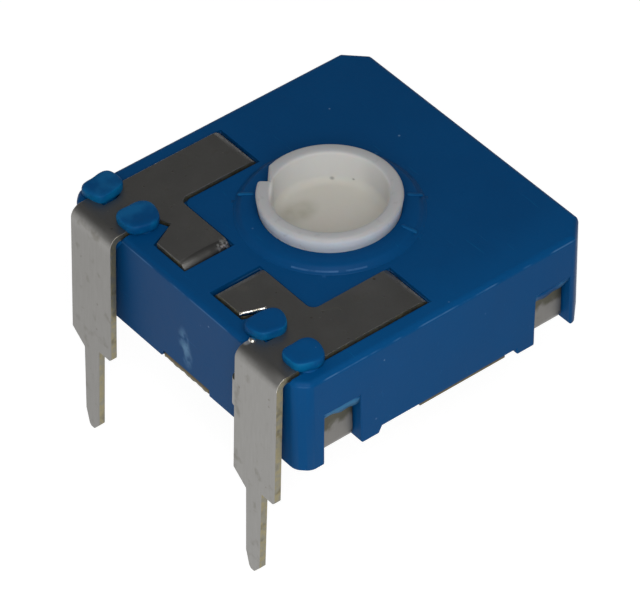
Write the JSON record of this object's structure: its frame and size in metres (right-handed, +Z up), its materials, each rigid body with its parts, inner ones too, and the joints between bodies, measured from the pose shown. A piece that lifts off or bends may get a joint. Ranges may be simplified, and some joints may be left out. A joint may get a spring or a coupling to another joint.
{
  "type": "trimmer potentiometer",
  "caption": "Square single-turn trimmer potentiometer: blue moulded housing, white rotor adjusted from above and tinned pins for a printed circuit board.",
  "frame": {"origin": "under the rotor's axis, level with the tips of the three pins", "axes": "+Z up along the rotor's axis, +Y towards the wiper pin, +X along the row of the two end pins"},
  "size_m": [0.014, 0.0156, 0.0111],
  "materials": {
    "housing_plastic": "moulded, slightly glossy",
    "rotor_plastic": "moulded, satin",
    "spring_metal": "rolled spring sheet",
    "card": "laminated card with a printed carbon track",
    "tinned_brass": "satin tin plate over stamped brass sheet"
  },
  "bodies": {
    "housing": {"housing": "housing_plastic", "resistor_card": "card", "end_terminal_left": "tinned_brass", "end_terminal_right": "tinned_brass", "wiper_terminal": "tinned_brass"},
    "rotor": {"rotor": "rotor_plastic", "wiper": "spring_metal"}
  },
  "joints": [
    {"name": "rotor_turn", "type": "hinge", "parent": "housing", "child": "rotor", "pos_m": [0, 0, 0.01015], "axis": [0, 0, 1], "range_deg": [-248.5, 16.5]}
  ]
}
